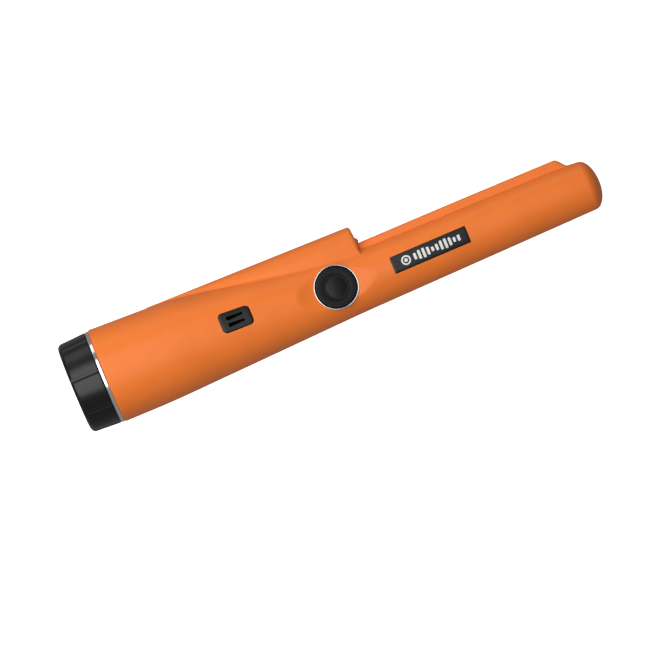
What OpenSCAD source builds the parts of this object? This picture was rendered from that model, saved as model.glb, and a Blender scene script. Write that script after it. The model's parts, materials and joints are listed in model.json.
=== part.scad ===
// Hand-held pinpointer probe: a tapered tube with a screw-on battery cap at the
// rear, a thumb button and sound outlet on one side, an LED shoulder and a
// scraping rib on the spine, and a ferrite search coil in the tip.
// Body frame of the modules: X runs from the cap's rear face to the tip, Y runs
// towards the shoulder and the rib, Z runs out through the button, and the
// rear axis is y = z = 0. place() moves it so that the probe lies on its side
// with its origin under the middle of its box.

/* [Body] */
// Overall length from the battery cap's rear face to the tip
overall_l = 230; // [228:0.5:232]
// Radius of the housing at its rear end
butt_r = 20; // [20:0.05:20.3]
// Place along the probe where the handle starts to taper
waist_x = 36; // [35.5:0.5:37]
// Place along the probe where the handle runs into the front tube
knee_x = 119; // [118.5:0.5:120]
// Radius of the front tube at the knee
knee_r = 12.9; // [12.85:0.05:13]
// How far the tube's axis has dropped from the rear axis at the knee
knee_drop = 3.6; // [3.5:0.05:3.65]
// Radius of the front tube where the rounded tip starts
tip_r = 10.3; // [10.25:0.05:10.5]
// How far the tube's axis has dropped from the rear axis at the tip
tip_drop = 3.6; // [3.55:0.05:3.65]
// Length of the rounded tip
tip_l = 5.5; // [5:0.1:6]
// Wall thickness of the housing
wall = 2; // [1.9:0.05:2.05]

/* [Shoulder and rib] */
// Place where the shoulder starts to rise out of the handle
shoulder_start_x = 44; // [44:0.5:46]
// Place where the shoulder reaches its full width
shoulder_full_x = 94; // [92:0.5:97]
// Full width of the shoulder
shoulder_w = 17.8; // [17.4:0.2:18.2]
// Width of the shoulder at the step
shoulder_step_w = 15.2; // [15:0.2:15.6]
// Height of the shoulder's top above the rear axis where the handle starts to taper
shoulder_rear_y = 19.55; // [19.5:0.05:19.6]
// Height of the shoulder's top above the rear axis at the step
shoulder_step_y = 18.4; // [18:0.1:18.8]
// Place of the step face along the probe
step_x = 128.8; // [128.4:0.1:129.2]
// Radius of the step's top edge
step_edge_r = 1.4; // [1:0.1:2]
// Width of the scraping rib
rib_w = 6.8; // [6.4:0.1:7.2]
// Height of the rib above the rear axis at the step
rib_step_y = 10.6; // [10.5:0.1:10.8]
// Height of the rib above the rear axis at its front end
rib_front_y = 11.1; // [10.9:0.1:11.3]
// Place where the rib's front slope starts
rib_slope_x = 213.8; // [212:0.2:214]
// Place where the rib has run out into the tube
rib_end_x = 221.6; // [221:0.2:222]

/* [Battery cap] */
// Length of the battery cap
cap_l = 12.5; // [12.4:0.05:12.5]
// Radius of the battery cap towards its rear
cap_r = 19.2; // [19.15:0.05:19.4]
// Radius of the battery cap at its front rim
cap_front_r = 19.75; // [19.6:0.05:19.9]
// Radius of the cap's rear edge
cap_edge_r = 2.2; // [1.5:0.1:2.4]
// Number of grip grooves round the cap
groove_count = 8; // [6:1:16]
// Radius of the cutter of one grip groove
groove_r = 1; // [0.8:0.1:1.1]
// Depth of the grip grooves
groove_depth = 0.5; // [0.3:0.05:0.6]
// Lead of the cap's thread
thread_pitch = 4; // [4:0.1:4.2]

/* [Trim ring] */
// Thickness of the bright ring along the probe
ring_l = 1.7; // [1.6:0.05:1.75]
// Outer radius of the bright ring
ring_r = 19.8; // [19.6:0.05:19.9]

/* [Button] */
// Place of the button along the probe
button_x = 114.6; // [114.2:0.1:115]
// Place of the button across the probe
button_y = -3.2; // [-3.4:0.05:-2.8]
// Outer radius of the button's bright bezel
bezel_r = 9.25; // [9.2:0.05:9.3]
// Radius of the rubber button
button_r = 8.55; // [8.4:0.05:8.6]
// Travel of the button
button_travel = 1; // [0.6:0.1:1]
// Depth of the thumb recess at the button
recess_depth = 2.3; // [2.1:0.1:2.4]
// Length of the thumb recess
recess_l = 30.6; // [30:0.2:32]
// How far the recess is set towards the cap from the button
recess_shift = 1.1; // [0.8:0.1:1.4]

/* [Sound outlet] */
// Place of the sound outlet along the probe
vent_x = 71.9; // [71.6:0.1:72.8]
// Roll of the sound outlet about the probe's axis, towards the shoulder
vent_roll = 5.7; // [4:0.1:7]
// Length of the outlet's insert
vent_l = 13.3; // [13:0.1:13.6]
// Width of the outlet's insert
vent_w = 8.4; // [8:0.1:8.6]
// Corner radius of the outlet's insert
vent_corner_r = 2; // [1.6:0.1:2.2]

/* [Label] */
// Place of the label's middle along the probe
label_x = 155.4; // [154:0.2:157]
// Length of the label
label_l = 33.3; // [31:0.1:34]
// Width of the label
label_w = 7.15; // [6.8:0.05:7.4]

/* [Battery] */
// Length of the battery's case without its terminals
battery_l = 46.4; // [46:0.1:46.5]
// Width of the battery
battery_w = 26.5; // [26:0.1:26.5]
// Thickness of the battery
battery_t = 17.5; // [17:0.1:17.5]

/* [Hidden] */
$fn = 96;

orange = [0.94, 0.5, 0.22];
black = [0.07, 0.07, 0.07];
rubber_black = [0.12, 0.12, 0.12];
bright = [0.82, 0.82, 0.84];
brass = [0.8, 0.62, 0.25];
board_green = [0.05, 0.35, 0.15];

// Play between pieces that are fixed to each other, and between moving ones
snug = 0.05;
gap = 0.3;
far = 60;

// Battery end, from rear to front
housing_x = cap_l + 0.1 + ring_l;
cap_floor = 3;
neck_x = cap_floor + 0.6;
neck_r = 16.9;
neck_bore_r = 15.6;
collar_r = butt_r - wall - 0.25;
collar_end_x = 27;
thread_h = 0.7;
cap_bore_r = neck_r + thread_h + 0.3;
thread_start_x = neck_x + 1.4;
o_ring_x = cap_l - 1;
o_ring_r = 0.6;
pad_x = cap_floor + 0.1;
pad_l = 5.4;
pad_r = 13.5;
battery_x = pad_x + pad_l + 0.1;
battery_y = -0.4;
battery_front_x = battery_x + battery_l;
terminal_h = 2.6;
terminal_y = 6.35;
plate_x = battery_front_x + terminal_h + 1;
plate_t = 1.6;
bulkhead_x = plate_x + plate_t;
bulkhead_t = 2;

// Circuit board, front to rear and bottom to top
board_x = 66;
board_end_x = 134;
board_top = -1;
board_t = 1.6;
board_bottom = board_top - board_t;
tray_top = -5.2;
tray_t = 1.4;
tray_end_x = 135.5;
tray_plate_t = 2;

// Search coil
rod_x = 138;
rod_end_x = 218;
rod_y = -3.5;
rod_r = 4;
former_x = 142;
former_end_x = 214;
former_r = 5;
flange_r = 7.2;
flange_t = 1.2;
winding_r = 6.6;

// Button, from the recess floor downwards
crest_z = skin_r(button_x);
button_tilt = atan((butt_r - knee_r) / (knee_x - waist_x));
floor_z = crest_z - recess_depth;
recess_r = (pow(recess_l / 2, 2) + pow(recess_depth, 2)) / (2 * recess_depth);
boss_r = bezel_r + 0.85;
boss_bottom = floor_z - 4.5;
sleeve_top = floor_z - 2.5;
sleeve_bottom = floor_z - 5.5;
sleeve_bore_r = 7.2;
stem_r = sleeve_bore_r - gap;
button_bottom = sleeve_bottom - 0.8;
switch_h = 3.6;
switch_floor = board_top + 0.8;
plunger_r = 1.7;
plunger_bottom = switch_floor + gap + button_travel;

// LED
led_y = 11.8;
led_r = 1.5;
led_back_x = step_x - 4.4;

// Centre line and radius of the housing's skin at a place along the probe
tip_x = overall_l - tip_l;
function mix(a, b, t) = a + (b - a) * t;
function handle_t(x) = (x - waist_x) / (knee_x - waist_x);
function tube_t(x) = (x - knee_x) / (tip_x - knee_x);
function handle_y(x) = mix(0, -knee_drop, handle_t(x));
function handle_r(x) = mix(butt_r, knee_r, handle_t(x));
function tube_y(x) = mix(-knee_drop, -tip_drop, tube_t(x));
function tube_r(x) = mix(knee_r, tip_r, tube_t(x));
function skin_y(x) = x < waist_x ? 0 : x < knee_x ? handle_y(x) : tube_y(x);
function skin_r(x) = x < waist_x ? butt_r : x < knee_x ? handle_r(x) : tube_r(x);

// ---- Helpers ----

// From the body frame to the part's frame
module place() translate([-overall_l / 2, 0, butt_r]) children();

// Runs the child's Z axis along X, starting at a point
module along_x(x, y = 0, z = 0) translate([x, y, z]) rotate([0, 90, 0]) children();

module disc(x, l, r, y = 0) along_x(x, y) cylinder(h = l, r = r);

module tube(x, l, r, bore, y = 0) difference() {
    disc(x, l, r, y);
    disc(x - 1, l + 2, bore, y);
}

// Frustum along a tilted centre line in the XY plane
module tilted_frustum(x1, y1, r1, x2, y2, r2)
    translate([x1, y1, 0]) rotate([0, 0, atan2(y2 - y1, x2 - x1)]) rotate([0, 90, 0])
        cylinder(h = norm([x2 - x1, y2 - y1]), r1 = r1, r2 = r2);

// Tapered handle, from a place along the probe to a little inside the front tube
module handle_taper(x, inset) tilted_frustum(
    x, handle_y(x), handle_r(x) - inset,
    knee_x + 12, handle_y(knee_x + 12), handle_r(knee_x + 12) - inset);

// Front tube with an elliptical tip
module tube_form(inset) {
    start = knee_x - 20;
    l = tip_x - start;
    r = tip_r - inset;
    tip = [for (i = [1:12]) [r * cos(i * 7.5), l + (tip_l - inset) * sin(i * 7.5)]];
    translate([start, tube_y(start), 0]) rotate([0, 0, atan2(tube_y(tip_x) - tube_y(start), l)])
        rotate([0, 90, 0]) rotate_extrude()
            polygon(concat([[0, 0], [tube_r(start) - inset, 0], [r, l]], tip));
}

module outer_form() {
    disc(housing_x, waist_x + 0.9 - housing_x, butt_r);
    handle_taper(waist_x, 0.03);
    tube_form(0);
}

// Space inside the housing ahead of the collar, at a depth under the skin
module inner_form(depth) {
    disc(collar_end_x - 1, waist_x + 1.9 - collar_end_x, butt_r - depth);
    handle_taper(waist_x, depth + 0.03);
    tube_form(depth);
}

module rounded_rect(l, w, r) {
    square([l - 2 * r, w], center = true);
    square([l, w - 2 * r], center = true);
    for (x = [-1, 1], y = [-1, 1])
        translate([x * (l / 2 - r), y * (w / 2 - r)]) circle(r = r);
}

// Ridge that winds round X, as a screw thread does, between two radii
module helix_ridge(x, turns, r_root, r_top, root_l, top_l, start_angle) {
    steps = 36;
    side = sign(r_top - r_root);
    count = round(turns * steps);
    points = [for (i = [0:count]) let (
            a = start_angle + 360 * i / steps,
            x0 = x + thread_pitch * i / steps)
        for (p = [[r_root, -root_l], [r_top, -top_l], [r_top, top_l], [r_root, root_l]])
            [x0 + side * p[1] / 2, -p[0] * sin(a), p[0] * cos(a)]];
    sides = [for (i = [0:count - 1], k = [0:3]) let (
            a = 4 * i + k, b = 4 * i + (k + 1) % 4)
        each [[a, b, b + 4], [a, b + 4, a + 4]]];
    last = 4 * count;
    ends = [[2, 1, 0], [3, 2, 0], [last, last + 1, last + 2], [last, last + 2, last + 3]];
    polyhedron(points, concat(sides, ends));
}

// Insulated wire along a Bezier curve of four control points
function bezier(p, t) = pow(1 - t, 3) * p[0] + 3 * t * pow(1 - t, 2) * p[1]
    + 3 * t * t * (1 - t) * p[2] + pow(t, 3) * p[3];
function unit(v) = v / norm(v);
module wire(p, r) {
    rings = 10;
    sides = 8;
    path = [for (i = [0:rings]) bezier(p, i / rings)];
    points = [for (i = [0:rings]) let (
            t = unit(path[min(i + 1, rings)] - path[max(i - 1, 0)]),
            a = unit(cross(t, [0.31, 0.17, 0.93])),
            b = cross(t, a))
        for (k = [0:sides - 1])
            path[i] + r * (cos(360 * k / sides) * a + sin(360 * k / sides) * b)];
    skin_faces = [for (i = [0:rings - 1], k = [0:sides - 1]) let (
            a = i * sides + k, b = i * sides + (k + 1) % sides)
        each [[a, b + sides, b], [a, a + sides, b + sides]]];
    ends = [[for (k = [0:sides - 1]) k], [for (k = [sides - 1:-1:0]) rings * sides + k]];
    polyhedron(points, concat(skin_faces, ends));
}

// ---- Housing ----

function shoulder_y(x) = mix(shoulder_rear_y, shoulder_step_y, (x - waist_x) / (step_x - waist_x));

// Round-topped ridge under the shoulder's top line, between two places
module ridge(x1, r1, x2, r2, depth = 0) tilted_frustum(
    x1, shoulder_y(x1) - depth - r1, r1, x2, shoulder_y(x2) - depth - r2, r2);

// Upright flanks under a ridge, from inside the handle up to a height
module flanks(x1, half1, x2, half2, top) translate([0, -5, 0]) rotate([-90, 0, 0])
    linear_extrude(top + 5) polygon([[x1, -half1], [x2, -half2], [x2, half2], [x1, half1]]);

// Shoulder with the LED: it widens from a point behind the button and ends in a step
module shoulder() {
    e = step_edge_r;
    full_r = shoulder_w / 2;
    step_r = shoulder_step_w / 2;
    top = shoulder_y(step_x);
    flank_in = 0.15;
    intersection() {
        union() {
            ridge(shoulder_start_x, 1, shoulder_full_x, full_r);
            ridge(shoulder_full_x - 0.5, full_r, step_x + 1, step_r);
            flanks(
                shoulder_full_x, full_r - flank_in, step_x + 1, step_r - flank_in,
                shoulder_y(shoulder_full_x) - full_r);
        }
        linear_extrude(far, center = true) {
            translate([20, -10]) square([step_x - e - 20, far]);
            translate([20, -10]) square([step_x - 20, top - e + 10]);
            translate([step_x - e, top - e]) circle(r = e);
        }
    }
}

// Space inside the shoulder for the LED and its leads
module shoulder_hollow() {
    r = shoulder_step_w / 2 - wall - 0.6;
    x1 = shoulder_full_x - 6;
    x2 = step_x - wall;
    ridge(x1, r, x2, r, wall);
    flanks(x1 + 0.5, r - 0.2, x2, r - 0.2, shoulder_y(x2) - wall - r);
}

// Scraping rib along the tube, running out into it before the tip
module rib() {
    x1 = step_x - 1;
    l = rib_end_x + 2 - x1;
    edge_r = 1.5;
    root_y = -4;
    h = rib_step_y - root_y;
    low_y = skin_y(rib_end_x) + skin_r(rib_end_x) - 0.6;
    slope = [for (i = [0:8]) let (t = i / 8, s = t * t * (3 - 2 * t))
        [mix(rib_slope_x, rib_end_x, t), mix(rib_front_y, low_y, s)]];
    intersection() {
        translate([x1, root_y, 0])
            rotate([0, 0, atan((rib_front_y - rib_step_y) / (rib_slope_x - x1))])
            rotate([0, 90, 0]) linear_extrude(l) {
                translate([-rib_w / 2, 0]) square([rib_w, h - edge_r]);
                translate([edge_r - rib_w / 2, 0]) square([rib_w - 2 * edge_r, h]);
                for (s = [-1, 1]) translate([s * (rib_w / 2 - edge_r), h - edge_r]) circle(r = edge_r);
            }
        linear_extrude(far, center = true) polygon(concat(
            [[x1 - 2, root_y - 1], [x1 - 2, rib_front_y + 1], [rib_slope_x, rib_front_y + 1]],
            slope, [[rib_end_x, root_y - 1]]));
    }
}

// Square to the skin at the button, with heights still counted from the rear axis
module button_frame() translate([button_x, button_y, crest_z]) rotate([0, button_tilt, 0])
    translate([0, 0, -crest_z]) children();

module vent_frame() translate([vent_x, skin_y(vent_x), 0]) rotate([-vent_roll, 0, 0]) children();

module housing() color(orange) place() difference() {
    union() {
        difference() {
            union() {
                outer_form();
                shoulder();
                rib();
            }
            inner_form(wall);
            shoulder_hollow();
        }
        button_frame() translate([0, 0, boss_bottom]) cylinder(h = floor_z + 1.5 - boss_bottom, r = boss_r);
    }
    disc(housing_x - 1, collar_end_x - housing_x + 1.3, collar_r + snug);
    // Thumb recess: a scoop across the button
    button_frame() translate([-recess_shift, 0, floor_z + recess_r]) rotate([90, 0, 0])
        cylinder(h = far, r = recess_r, center = true, $fn = 180);
    button_frame() translate([0, 0, boss_bottom - 1]) cylinder(h = 20, r = bezel_r + snug);
    vent_frame() translate([0, 0, 10]) linear_extrude(20)
        rounded_rect(vent_l + 2 * snug, vent_w + 2 * snug, vent_corner_r + snug);
    disc(step_x - wall - 1, wall + 3, led_r + 2 * snug, led_y);
    // Relief in the rib's root for the LED's dome
    disc(step_x + 0.02, 2.6, led_r + gap, led_y);
}

// ---- Battery end ----

module threaded_collar() color(black) place() {
    difference() {
        union() {
            disc(neck_x, housing_x - neck_x + 1, neck_r);
            disc(housing_x, collar_end_x - housing_x, collar_r);
        }
        disc(neck_x - 1, collar_end_x - neck_x + 2, neck_bore_r);
        tube(o_ring_x - 0.8, 1.6, neck_r + 1, neck_r - 0.45);
    }
    helix_ridge(thread_start_x, 1.2, neck_r / cos(5) + 0.01, neck_r + thread_h, 1.6, 1, 0);
}

module trim_ring() color(bright) place() along_x(housing_x - ring_l) rotate_extrude() difference() {
    translate([neck_r + snug, 0]) square([ring_r - neck_r - snug, ring_l - 0.02]);
    for (y = [0, ring_l - 0.02]) translate([ring_r, y]) rotate(45) square(0.5, center = true);
}

module o_ring() color(rubber_black) place() along_x(o_ring_x) rotate_extrude()
    translate([neck_r - 0.45 + o_ring_r + 0.01, 0]) circle(r = o_ring_r, $fn = 32);

module battery_cap() color(black) place() {
    difference() {
        along_x(0) rotate_extrude() {
            square([cap_r - cap_edge_r, cap_l]);
            polygon([[0, cap_edge_r], [cap_r, cap_edge_r], [cap_front_r, cap_l], [0, cap_l]]);
            translate([cap_r - cap_edge_r, cap_edge_r]) circle(r = cap_edge_r);
        }
        disc(cap_floor, cap_l, cap_bore_r);
        for (i = [0:groove_count - 1]) rotate([i * 360 / groove_count - 7, 0, 0])
            along_x(-1, 0, cap_r + groove_r - groove_depth) cylinder(h = cap_l + 2, r = groove_r, $fn = 48);
    }
    helix_ridge(
        thread_start_x + thread_pitch / 2, 0.75,
        cap_bore_r - 0.01, cap_bore_r - thread_h, 1.6, 1, 0);
}

module cap_pad() color([0.2, 0.2, 0.22]) place() disc(pad_x, pad_l, pad_r);

module battery_block(inset) along_x(battery_x + inset, battery_y)
    linear_extrude(battery_l - 2 * inset)
        rounded_rect(battery_t - 2 * inset, battery_w - 2 * inset, 2 - inset);

module battery_can() color([0.16, 0.17, 0.2]) place() difference() {
    battery_block(0);
    battery_block(0.4);
}

module battery_cells() color([0.62, 0.63, 0.65]) place()
    for (y = [-1, 0, 1], z = [-1, 1])
        along_x(battery_x + 1.2, battery_y + y * 8.4, z * 4.15) cylinder(h = 42.5, r = 4.1);

module battery_terminals() color(bright) place() {
    along_x(battery_front_x, battery_y - terminal_y) cylinder(h = terminal_h, r = 2.9);
    along_x(battery_front_x, battery_y + terminal_y) difference() {
        cylinder(h = terminal_h, r1 = 3.6, r2 = 4.3, $fn = 48);
        translate([0, 0, 0.5]) cylinder(h = terminal_h, r = 3.1);
    }
}

// Bowed spring leaves that press on the battery's terminals
module contact_leaves() color(brass) place() for (s = [-1, 1]) {
    bow = 0.9;
    half = 3.4;
    r = (half * half + bow * bow) / (2 * bow);
    translate([plate_x - bow + r, battery_y + s * terminal_y, -2.5]) linear_extrude(5) intersection() {
        difference() {
            circle(r = r);
            circle(r = r - 0.3);
        }
        translate([-r, -half]) square([bow, 2 * half]);
    }
}

module contact_plate() color(board_green) place() translate([plate_x, battery_y, 0])
    rotate([0, 90, 0]) linear_extrude(plate_t) difference() {
        rounded_rect(14, 24, 2);
        for (s = [-1, 1]) translate([0, s * 10.6]) circle(r = 0.75);
    }

// Rails above and below the battery, on the bulkhead that closes its bay
module battery_cradle() color([0.2, 0.2, 0.2]) place() intersection() {
    difference() {
        union() {
            for (s = [-1, 1]) translate([collar_end_x + 0.5, -9, s > 0 ? 9.2 : -29.2])
                cube([bulkhead_x - collar_end_x, 18, 20]);
            translate([bulkhead_x, -far / 2, -far / 2]) cube([bulkhead_t, far, far]);
        }
        for (s = [-1, 1]) along_x(bulkhead_x - 1, battery_y + s * 10.6) cylinder(h = 9, r = 1);
    }
    front_x = bulkhead_x + bulkhead_t + 1;
    tilted_frustum(
        collar_end_x, 0, butt_r - wall - gap,
        front_x, handle_y(front_x), handle_r(front_x) - wall - gap);
}

// ---- Chassis and board ----

// Plan outline that keeps a side margin from the housing, between two places
module plan(x1, x2, half1, half2, depth, z) translate([0, 0, z]) linear_extrude(depth) polygon([
    [x1, skin_y(x1) - half1], [x2, skin_y(x2) - half2],
    [x2, skin_y(x2) + half2], [x1, skin_y(x1) + half1]
]);

screw_spots = [for (s = [-1, 1]) each [
    [68.8, skin_y(68.8) + s * 10.2], [130.8, skin_y(130.8) + s * 6.2]
]];

// Tray under the board, with rails, screw posts and a plate at its front end
module chassis() color([0.22, 0.22, 0.22]) place() difference() {
    union() {
        plan(bulkhead_x + bulkhead_t, tray_end_x, 12.8, 7, tray_t, tray_top - tray_t);
        for (s = [-1, 1]) translate([0, s * 7.4, 0])
            plan(board_x, board_end_x, 0.7, 0.7, board_bottom - tray_top, tray_top);
        for (p = screw_spots) translate([p[0], p[1], tray_top]) cylinder(h = board_bottom - tray_top, r = 1.8);
        difference() {
            disc(tray_end_x, tray_plate_t, 9.9, skin_y(tray_end_x));
            translate([tray_end_x - 1, -far / 2, board_bottom]) cube([9, far, far]);
        }
    }
    for (p = screw_spots) translate([p[0], p[1], tray_top - 0.6]) cylinder(h = 9, r = 0.8);
}

module main_board() color(board_green) place() difference() {
    plan(board_x, board_end_x, 13.7, 9.2, board_t, board_bottom);
    for (p = screw_spots) translate([p[0], p[1], board_bottom - 1]) cylinder(h = 9, r = 1.1);
}

module board_screws() color(bright) place() for (p = screw_spots) translate([p[0], p[1], board_top])
    difference() {
        union() {
            cylinder(h = 1.1, r = 1.8);
            translate([0, 0, -4]) cylinder(h = 4.1, r = 0.78);
        }
        for (a = [0, 90]) rotate(a) translate([-1.2, -0.2, 0.6]) cube([2.4, 0.4, 1]);
    }

// Flat chip with rows of pins on both sides, and on all four with quad set
module chip(l, w, h, pins, quad = false) {
    pitch = 0.8;
    pin_l = 0.9;
    translate([-l / 2, -w / 2, 0.15]) cube([l, w, h]);
    for (a = quad ? [0, 90, 180, 270] : [0, 180], i = [0:pins - 1])
        rotate(a) translate([(i - (pins - 1) / 2) * pitch - 0.18, w / 2, 0]) cube([0.36, pin_l, 0.5]);
}

module controller_chips() color([0.1, 0.1, 0.1]) place() translate([0, 0, board_top]) {
    translate([96, -6.5, 0]) chip(7, 7, 1.3, 7, true);
    translate([86, -8.4, 0]) chip(5, 4, 1.4, 5);
    translate([127, -4, 0]) rotate(90) chip(5, 4, 1.4, 5);
}

module crystal() color(bright) place() translate([97, 3.6, board_top]) linear_extrude(3.4)
    rounded_rect(10.6, 4.4, 2.15);

module capacitors() color([0.12, 0.13, 0.3]) place() translate([0, 0, board_top]) {
    for (p = [[84, 3.6], [90, 6.9]]) translate(p) cylinder(h = 6.5, r = 2.5);
    translate([124.2, 3, 0]) cylinder(h = 5.5, r = 2);
}

// Chip resistors and capacitors, in rows
module small_components() color([0.72, 0.66, 0.55]) place() translate([0, 0, board_top]) {
    for (i = [0:5]) translate([81 + 3 * i, -13 + 0.1 * i, 0]) cube([2, 1.2, 0.6]);
    for (i = [0:3]) translate([103.2, -9.6 + 2.6 * i, 0]) cube([1.2, 2, 0.6]);
    for (i = [0:3]) translate([121.5 + 2 * i, -10.4, 0]) cube([1.2, 2, 0.6]);
}

// ---- Button ----

switch_x = button_x - (crest_z - board_top - switch_h / 2) * tan(button_tilt);
module switch_body() color([0.1, 0.1, 0.1]) place() difference() {
    translate([switch_x - 3, button_y - 3, board_top]) cube([6, 6, switch_h]);
    button_frame() translate([0, 0, switch_floor]) cylinder(h = switch_h + 2, r = plunger_r + gap);
}

module switch_plunger() color([0.85, 0.85, 0.82]) place() button_frame()
    translate([0, 0, plunger_bottom]) cylinder(h = button_bottom - plunger_bottom, r = plunger_r);

module button_cap() color(rubber_black) place() button_frame() rotate_extrude() {
    top = floor_z + 1.3;
    rim = 0.6;
    difference() {
        union() {
            translate([0, floor_z - 0.8]) square([button_r, top - rim - floor_z + 0.8]);
            translate([0, floor_z - 0.8]) square([button_r - rim, top - floor_z + 0.8]);
            translate([button_r - rim, top - rim]) circle(r = rim);
            // Raised bead and low centre dome
            translate([5.15, top]) circle(r = 0.3, $fn = 32);
            intersection() {
                translate([0, top - 22.6]) circle(r = 23, $fn = 180);
                translate([0, floor_z]) square([4.4, 3]);
            }
        }
        translate([-far, 0]) square([far, far]);
    }
    translate([0, button_bottom]) square([stem_r, floor_z - button_bottom]);
    translate([0, button_bottom]) square([sleeve_bore_r + 0.8, 0.7]);
}

module button_bezel() color(bright) place() button_frame() rotate_extrude() polygon([
    [button_r + 0.2, sleeve_top], [bezel_r, sleeve_top], [bezel_r, floor_z + 0.7],
    [bezel_r - 0.2, floor_z + 1.1], [button_r + 0.4, floor_z + 1.2], [button_r + 0.2, floor_z + 1]
]);

module button_sleeve() color(black) place() button_frame() translate([0, 0, sleeve_bottom])
    difference() {
        cylinder(h = sleeve_top - sleeve_bottom, r = bezel_r);
        translate([0, 0, -1]) cylinder(h = 9, r = sleeve_bore_r);
    }

// ---- Sound outlet ----

buzzer_y = 0.2;
buzzer_top = board_top + 9.5;

module buzzer() color([0.08, 0.08, 0.08]) place() translate([vent_x, buzzer_y, board_top]) difference() {
    cylinder(h = 9.5, r = 6);
    translate([0, 0, 8.5]) cylinder(h = 2, r = 1.25);
}

module sound_duct() color([0.3, 0.3, 0.3]) place() translate([vent_x, buzzer_y, buzzer_top]) difference() {
    cylinder(h = 4.2, r = 5.6);
    translate([0, 0, -1]) cylinder(h = 9, r = 4.6);
}

module vent_membrane() color(black) place() vent_frame() translate([0, 0, 13.85])
    linear_extrude(0.2) rounded_rect(vent_l - 0.6, vent_w - 0.6, 1.6);

module vent_insert() color(black) place() intersection() {
    vent_frame() difference() {
        translate([0, 0, 14.1]) linear_extrude(6) rounded_rect(vent_l, vent_w, vent_corner_r);
        for (s = [-1, 1]) translate([0, s * 1.4, 10]) linear_extrude(20) rounded_rect(6.5, 0.8, 0.39);
    }
    handle_taper(waist_x, -0.3);
}

// ---- LED ----

module led() color([0.9, 0.92, 0.95]) place() along_x(led_back_x, led_y) rotate_extrude()
    intersection() {
        union() {
            square([led_r + 0.4, 1]);
            square([led_r, 4.1]);
            translate([0, 4.1]) circle(r = led_r);
        }
        square(far);
    }

module led_seal() color(rubber_black) place()
    tube(led_back_x + 1, step_x - wall - led_back_x - 1.05, 3.2, led_r + snug, led_y);

module led_leads() color([0.75, 0.75, 0.75]) place() for (s = [-1, 1])
    wire([[led_back_x, led_y, s * 0.8], [led_back_x - 5, led_y, s * 0.8],
        [led_back_x - 5.5, 4, 1 + s * 0.8], [led_back_x - 4 + s, 4, board_top + 0.2]], 0.25);

// ---- Vibration motor and leads ----

module vibration_motor() color(bright) place() translate([100.5, -2.6, tray_top])
    cylinder(h = 2.3, r = 5);

module motor_leads() color([0.1, 0.2, 0.6]) place() for (s = [-1, 1])
    wire([[105.5, -2.6 + s, tray_top + 1.2], [108, -2.6 + s, tray_top + 1.2],
        [109, -2.6 + s, tray_top + 1.2], [110, -2.6 + s, board_bottom - 0.15]], 0.3);

module battery_lead(s) wire([
    [plate_x + 0.8, battery_y + s * 10.6, 0], [board_x, battery_y + s * 10.6, 0],
    [board_x + 2, battery_y + s * 9, 6], [board_x + 14.5, battery_y + s * 8.8, board_top + 0.55]], 0.6);
module battery_lead_red() color([0.75, 0.08, 0.06]) place() battery_lead(1);
module battery_lead_black() color([0.05, 0.05, 0.05]) place() battery_lead(-1);

// ---- Search coil ----

module ferrite_rod() color([0.25, 0.24, 0.24]) place() disc(rod_x, rod_end_x - rod_x, rod_r, rod_y);

module coil_former() color([0.85, 0.82, 0.74]) place() difference() {
    union() {
        disc(former_x, former_end_x - former_x, former_r, rod_y);
        for (x = [former_x, former_x + 35, former_x + 53.6, former_end_x - flange_t])
            disc(x, flange_t, flange_r, rod_y);
    }
    disc(former_x - 1, former_end_x - former_x + 2, rod_r + snug, rod_y);
}

module winding(x, l) tube(x, l, winding_r, former_r + snug, rod_y);

module transmit_winding() color([0.72, 0.36, 0.15]) place()
    winding(former_x + flange_t + 0.2, 35 - flange_t - 0.4);

module receive_windings() color([0.6, 0.18, 0.1]) place() {
    winding(former_x + 35 + flange_t + 0.2, 18.6 - flange_t - 0.4);
    winding(former_x + 53.6 + flange_t + 0.2, 18.4 - 2 * flange_t - 0.4);
}

module rod_supports() color([0.2, 0.2, 0.2]) place() for (p = [[tray_end_x + tray_plate_t, 3], [215, 2.6]])
    intersection() {
        difference() {
            tube(p[0], p[1], 14, rod_r + snug, rod_y);
            // Notches for the coil's leads
            for (s = [-1, 1]) translate([rod_x, rod_y + s * 5.6, 2.2]) cube([9, 2.9, 1.2], center = true);
        }
        tube_form(wall + 0.1);
    }

module coil_leads() color([0.7, 0.3, 0.15]) place() for (s = [-1, 1], k = [0, 1])
    wire([[former_x, rod_y + s * (5.6 + 0.9 * k), 2.2], [tray_end_x + 4, rod_y + s * (5.6 + 0.9 * k), 2.2],
        [board_end_x, rod_y + s * (3 + k), 2.2], [board_end_x - 2.4, rod_y + s * (1.6 + k), board_top + 0.1]], 0.2);

module tip_cushion() color([0.25, 0.25, 0.27]) place() disc(rod_end_x + 0.1, 3.4, 7.2, rod_y);

// ---- Label ----

module label() color(black) place() intersection() {
    difference() {
        tube_form(-0.15);
        tube_form(-0.01);
    }
    translate([label_x, skin_y(label_x), 0]) linear_extrude(far) rounded_rect(label_l, label_w, 0.5);
}

housing();
threaded_collar();
trim_ring();
o_ring();
battery_cap();
cap_pad();
battery_can();
battery_cells();
battery_terminals();
contact_leaves();
contact_plate();
battery_cradle();
chassis();
main_board();
board_screws();
controller_chips();
crystal();
capacitors();
small_components();
switch_body();
switch_plunger();
button_cap();
button_bezel();
button_sleeve();
buzzer();
sound_duct();
vent_membrane();
vent_insert();
led();
led_seal();
led_leads();
vibration_motor();
motor_leads();
battery_lead_red();
battery_lead_black();
ferrite_rod();
coil_former();
transmit_winding();
receive_windings();
rod_supports();
coil_leads();
tip_cushion();
label();
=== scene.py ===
import json
import math

import bmesh
import bpy
import numpy as np
from mathutils import Matrix, Vector


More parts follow.
